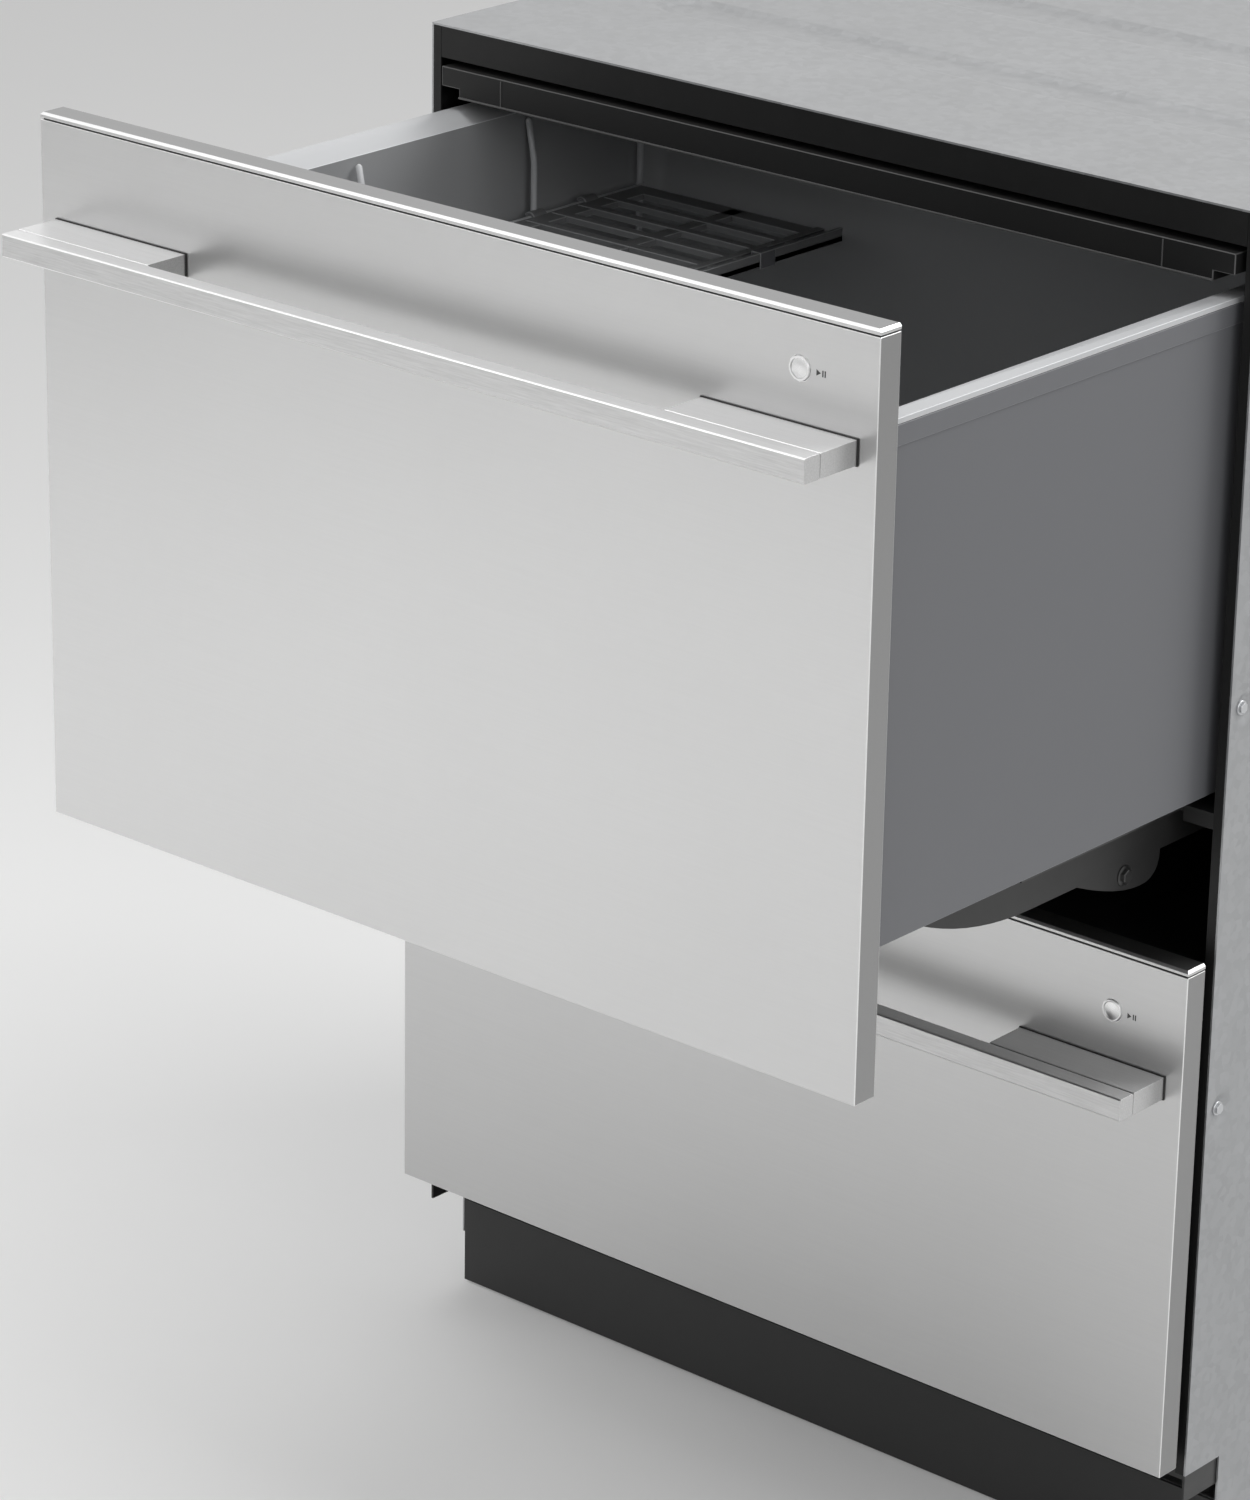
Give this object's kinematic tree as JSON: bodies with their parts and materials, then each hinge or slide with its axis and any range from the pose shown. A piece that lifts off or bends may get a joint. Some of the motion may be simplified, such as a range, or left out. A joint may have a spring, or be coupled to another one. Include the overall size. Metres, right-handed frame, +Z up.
{
  "type": "two-drawer dishwasher",
  "caption": "Built-in dishwasher with two pull-out tubs behind steel doors with bar handles, in one chassis on levelling feet; the upper drawer stands part open.",
  "frame": {"origin": "on the floor under the middle of the appliance as it stands with its upper drawer part open: the middle of its bounding box", "axes": "+X to the right seen from the front, +Y from the doors into the cabinet, +Z up"},
  "size_m": [0.599, 0.9126, 0.8535],
  "materials": {
    "steel_brushed": "fine horizontal brushed grain",
    "steel_polished": "bright ring round a spun face",
    "steel_galvanised": "galvanised sheet with a faint spangle",
    "steel_black": "satin black coating",
    "plastic_charcoal": "fine moulded texture",
    "plastic_slate": "fine moulded texture, satin",
    "plastic_tub": "satin moulded",
    "rubber_black": "matt",
    "wire_coated": "nylon-coated wire",
    "plastic_white": "satin moulded"
  },
  "bodies": {
    "chassis": {"chassis_left_side": "steel_galvanised", "chassis_right_side": "steel_galvanised", "chassis_back_panel": "steel_galvanised", "chassis_top_panel": "steel_black", "chassis_mid_shelf": "steel_black", "chassis_base_pan": "steel_galvanised", "toe_kick": "steel_black", "upper_fixed_rail_left": "steel_black", "upper_fixed_rail_right": "steel_black", "lower_fixed_rail_left": "steel_black", "lower_fixed_rail_right": "steel_black", "water_inlet_valve": "plastic_white", "power_inlet_box": "plastic_charcoal"},
    "upper_drawer": {"upper_door_skin": "steel_brushed", "upper_door_cap": "steel_brushed", "upper_door_liner": "plastic_charcoal", "upper_handle_bar": "steel_brushed", "upper_handle_block_left": "steel_brushed", "upper_handle_block_right": "steel_brushed", "upper_tub": "plastic_tub", "upper_side_cladding_left": "plastic_slate", "upper_side_cladding_right": "plastic_slate", "upper_tub_carrier": "plastic_charcoal", "upper_wash_motor": "plastic_charcoal", "upper_filter_plate": "plastic_charcoal", "upper_base_rack": "wire_coated", "upper_cutlery_basket": "plastic_charcoal", "upper_detergent_dispenser": "plastic_charcoal"},
    "upper_middle_rail_left_body": {"upper_middle_rail_left": "steel_black"},
    "upper_middle_rail_right_body": {"upper_middle_rail_right": "steel_black"},
    "upper_lid": {"upper_tub_lid": "plastic_charcoal", "upper_lid_seal": "rubber_black"},
    "upper_button": {"upper_start_button": "steel_polished"},
    "upper_spray_arm_body": {"upper_spray_arm": "plastic_charcoal"},
    "upper_cup_rack_body": {"upper_cup_rack": "plastic_charcoal"},
    "upper_folding_tines_body": {"upper_folding_tines": "wire_coated"},
    "upper_dispenser_lid_body": {"upper_dispenser_lid": "plastic_slate"},
    "lower_drawer": {"lower_door_skin": "steel_brushed", "lower_door_cap": "steel_brushed", "lower_door_liner": "plastic_charcoal", "lower_handle_bar": "steel_brushed", "lower_handle_block_left": "steel_brushed", "lower_handle_block_right": "steel_brushed", "lower_tub": "plastic_tub", "lower_side_cladding_left": "plastic_slate", "lower_side_cladding_right": "plastic_slate", "lower_tub_carrier": "plastic_charcoal", "lower_wash_motor": "plastic_charcoal", "lower_filter_plate": "plastic_charcoal", "lower_base_rack": "wire_coated"},
    "lower_middle_rail_left_body": {"lower_middle_rail_left": "steel_black"},
    "lower_middle_rail_right_body": {"lower_middle_rail_right": "steel_black"},
    "lower_lid": {"lower_tub_lid": "plastic_charcoal", "lower_lid_seal": "rubber_black"},
    "lower_button": {"lower_start_button": "steel_polished"},
    "lower_spray_arm_body": {"lower_spray_arm": "plastic_charcoal"},
    "foot_front_left": {"levelling_foot_front_left": "rubber_black"},
    "foot_front_right": {"levelling_foot_front_right": "rubber_black"},
    "foot_rear_left": {"levelling_foot_rear_left": "rubber_black"},
    "foot_rear_right": {"levelling_foot_rear_right": "rubber_black"}
  },
  "joints": [
    {"name": "upper_drawer_slide", "type": "slide", "parent": "chassis", "child": "upper_drawer", "axis": [0, -1, 0], "range_m": [-0.2976, 0.2024]},
    {"name": "upper_middle_rail_left_slide", "type": "slide", "parent": "chassis", "child": "upper_middle_rail_left_body", "axis": [0, -1, 0], "range_m": [-0.1488, 0.1012]},
    {"name": "upper_middle_rail_right_slide", "type": "slide", "parent": "chassis", "child": "upper_middle_rail_right_body", "axis": [0, -1, 0], "range_m": [-0.1488, 0.1012]},
    {"name": "upper_lid_lower", "type": "slide", "parent": "chassis", "child": "upper_lid", "axis": [0, 0, -1], "range_m": [0, 0.006]},
    {"name": "upper_start_button_press", "type": "slide", "parent": "upper_drawer", "child": "upper_button", "axis": [0, 1, 0], "range_m": [0, 0.001], "stiffness_N_per_m": 1500, "springref_m": -0.001},
    {"name": "upper_spray_arm_spin", "type": "hinge", "parent": "upper_drawer", "child": "upper_spray_arm_body", "pos_m": [0, -0.1559, 0.5477], "axis": [0, 0, 1], "continuous": true},
    {"name": "upper_cup_rack_fold", "type": "hinge", "parent": "upper_drawer", "child": "upper_cup_rack_body", "pos_m": [-0.253, -0.0747, 0.728], "axis": [0, 1, 0], "range_deg": [0, 60]},
    {"name": "upper_tines_fold", "type": "hinge", "parent": "upper_drawer", "child": "upper_folding_tines_body", "pos_m": [0.108, -0.117, 0.5762], "axis": [0, -1, 0], "range_deg": [0, 90]},
    {"name": "upper_dispenser_lid_open", "type": "hinge", "parent": "upper_drawer", "child": "upper_dispenser_lid_body", "pos_m": [0.125, -0.3564, 0.6377], "axis": [-1, 0, 0], "range_deg": [0, 95]},
    {"name": "lower_drawer_slide", "type": "slide", "parent": "chassis", "child": "lower_drawer", "axis": [0, -1, 0], "range_m": [0, 0.5]},
    {"name": "lower_middle_rail_left_slide", "type": "slide", "parent": "chassis", "child": "lower_middle_rail_left_body", "axis": [0, -1, 0], "range_m": [0, 0.25]},
    {"name": "lower_middle_rail_right_slide", "type": "slide", "parent": "chassis", "child": "lower_middle_rail_right_body", "axis": [0, -1, 0], "range_m": [0, 0.25]},
    {"name": "lower_lid_lower", "type": "slide", "parent": "chassis", "child": "lower_lid", "axis": [0, 0, -1], "range_m": [0, 0.006]},
    {"name": "lower_start_button_press", "type": "slide", "parent": "lower_drawer", "child": "lower_button", "axis": [0, 1, 0], "range_m": [0, 0.001], "stiffness_N_per_m": 1500, "springref_m": -0.001},
    {"name": "lower_spray_arm_spin", "type": "hinge", "parent": "lower_drawer", "child": "lower_spray_arm_body", "pos_m": [0, 0.1417, 0.1417], "axis": [0, 0, 1], "continuous": true},
    {"name": "levelling_foot_front_left_turn", "type": "hinge", "parent": "chassis", "child": "foot_front_left", "pos_m": [-0.2595, -0.0274, 0.03], "axis": [0, 0, 1], "continuous": true},
    {"name": "levelling_foot_front_right_turn", "type": "hinge", "parent": "chassis", "child": "foot_front_right", "pos_m": [0.2595, -0.0274, 0.03], "axis": [0, 0, 1], "continuous": true},
    {"name": "levelling_foot_rear_left_turn", "type": "hinge", "parent": "chassis", "child": "foot_rear_left", "pos_m": [-0.2595, 0.4113, 0.03], "axis": [0, 0, 1], "continuous": true},
    {"name": "levelling_foot_rear_right_turn", "type": "hinge", "parent": "chassis", "child": "foot_rear_right", "pos_m": [0.2595, 0.4113, 0.03], "axis": [0, 0, 1], "continuous": true}
  ],
  "couplings": [
    {"joint": "upper_middle_rail_left_slide", "follows": "upper_drawer_slide", "ratio": 0.5},
    {"joint": "upper_middle_rail_right_slide", "follows": "upper_drawer_slide", "ratio": 0.5},
    {"joint": "lower_middle_rail_left_slide", "follows": "lower_drawer_slide", "ratio": 0.5},
    {"joint": "lower_middle_rail_right_slide", "follows": "lower_drawer_slide", "ratio": 0.5}
  ]
}
